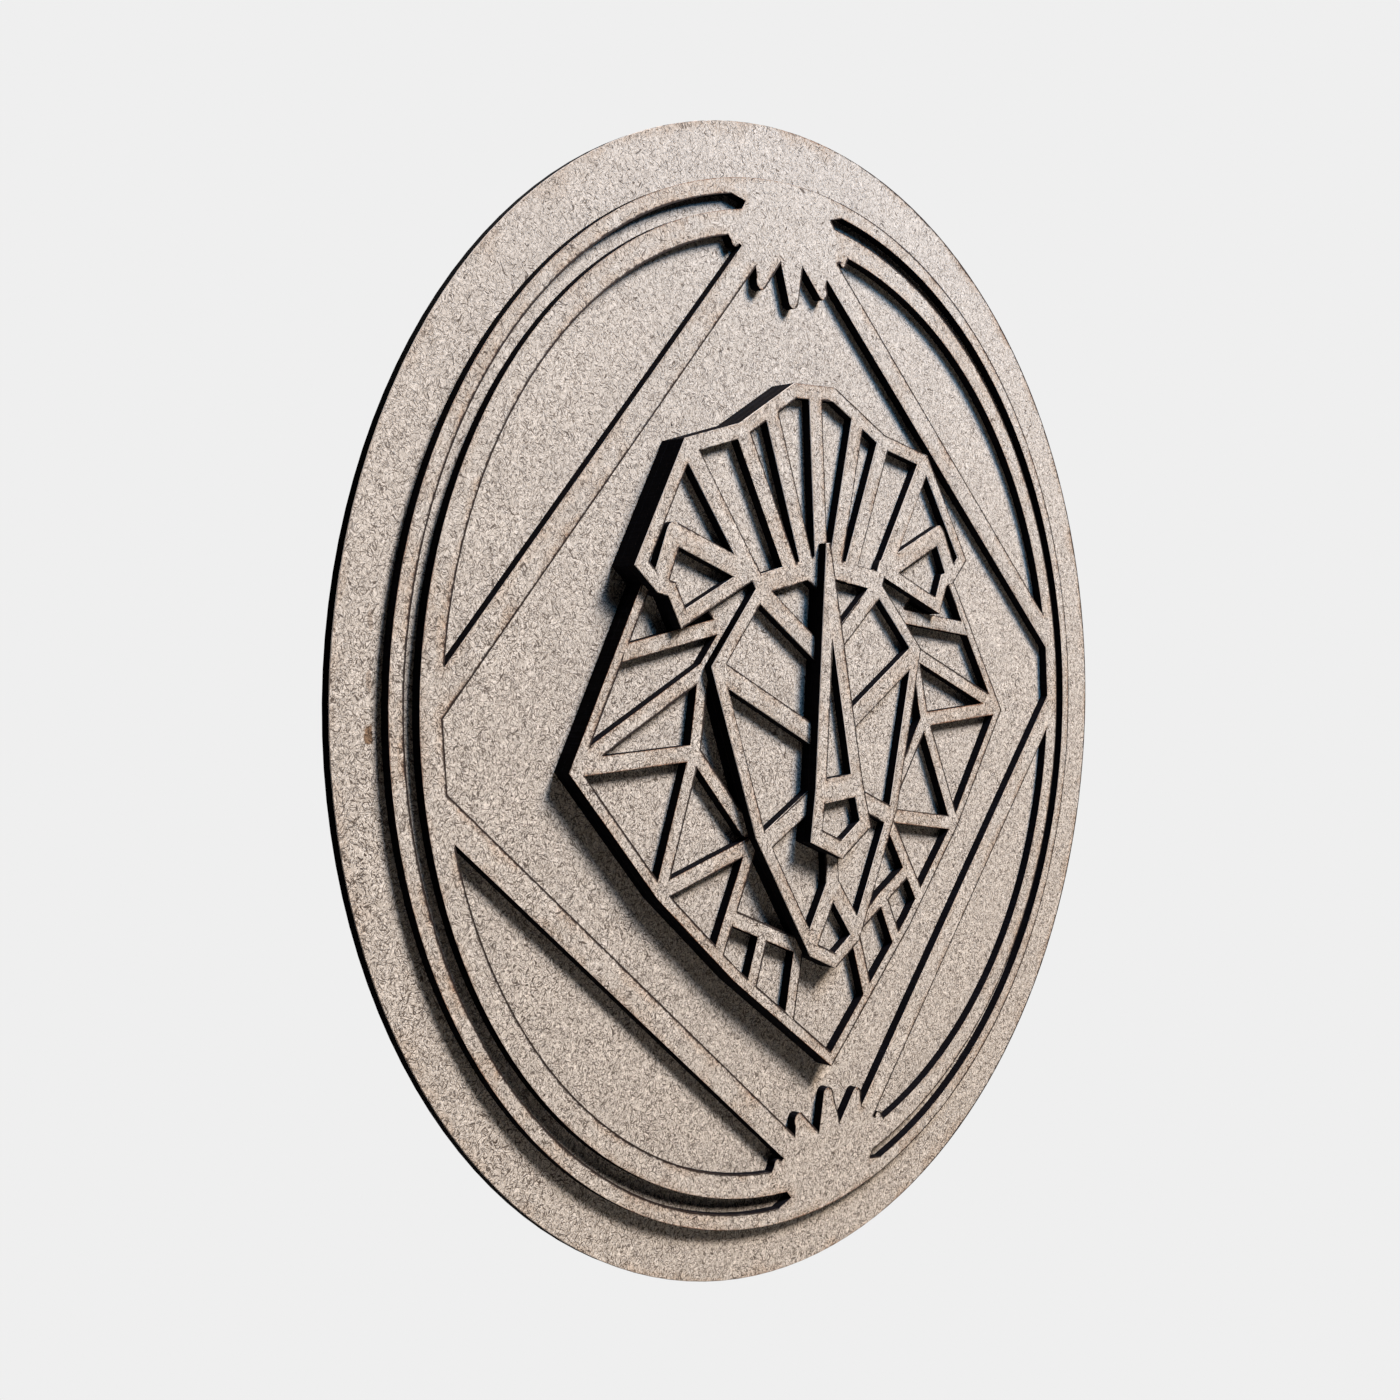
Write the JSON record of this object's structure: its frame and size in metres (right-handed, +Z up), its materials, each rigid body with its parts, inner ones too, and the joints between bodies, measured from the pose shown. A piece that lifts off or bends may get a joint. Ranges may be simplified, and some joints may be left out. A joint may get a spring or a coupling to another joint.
{
  "type": "layered lion wall emblem",
  "caption": "Round layered wall emblem of raw laser-cut MDF: a geometric lion's head inside a ring frame with diagonal bars and claw tufts.",
  "frame": {"origin": "centre of the backing disc's flat back, which lies against the wall", "axes": "+Z up, +Y into the wall, the lion looks towards -Y, +X to the right seen from the front"},
  "size_m": [0.35, 0.015, 0.35],
  "materials": {
    "raw_mdf": "bare sanded board face, with cut edges charred nearly black by the laser"
  },
  "bodies": {
    "root": {"backing_disc": "raw_mdf", "ring_frame": "raw_mdf", "lion_base_plate": "raw_mdf", "mane_lattice": "raw_mdf", "face_lattice": "raw_mdf", "nose_bridge": "raw_mdf"}
  },
  "joints": []
}
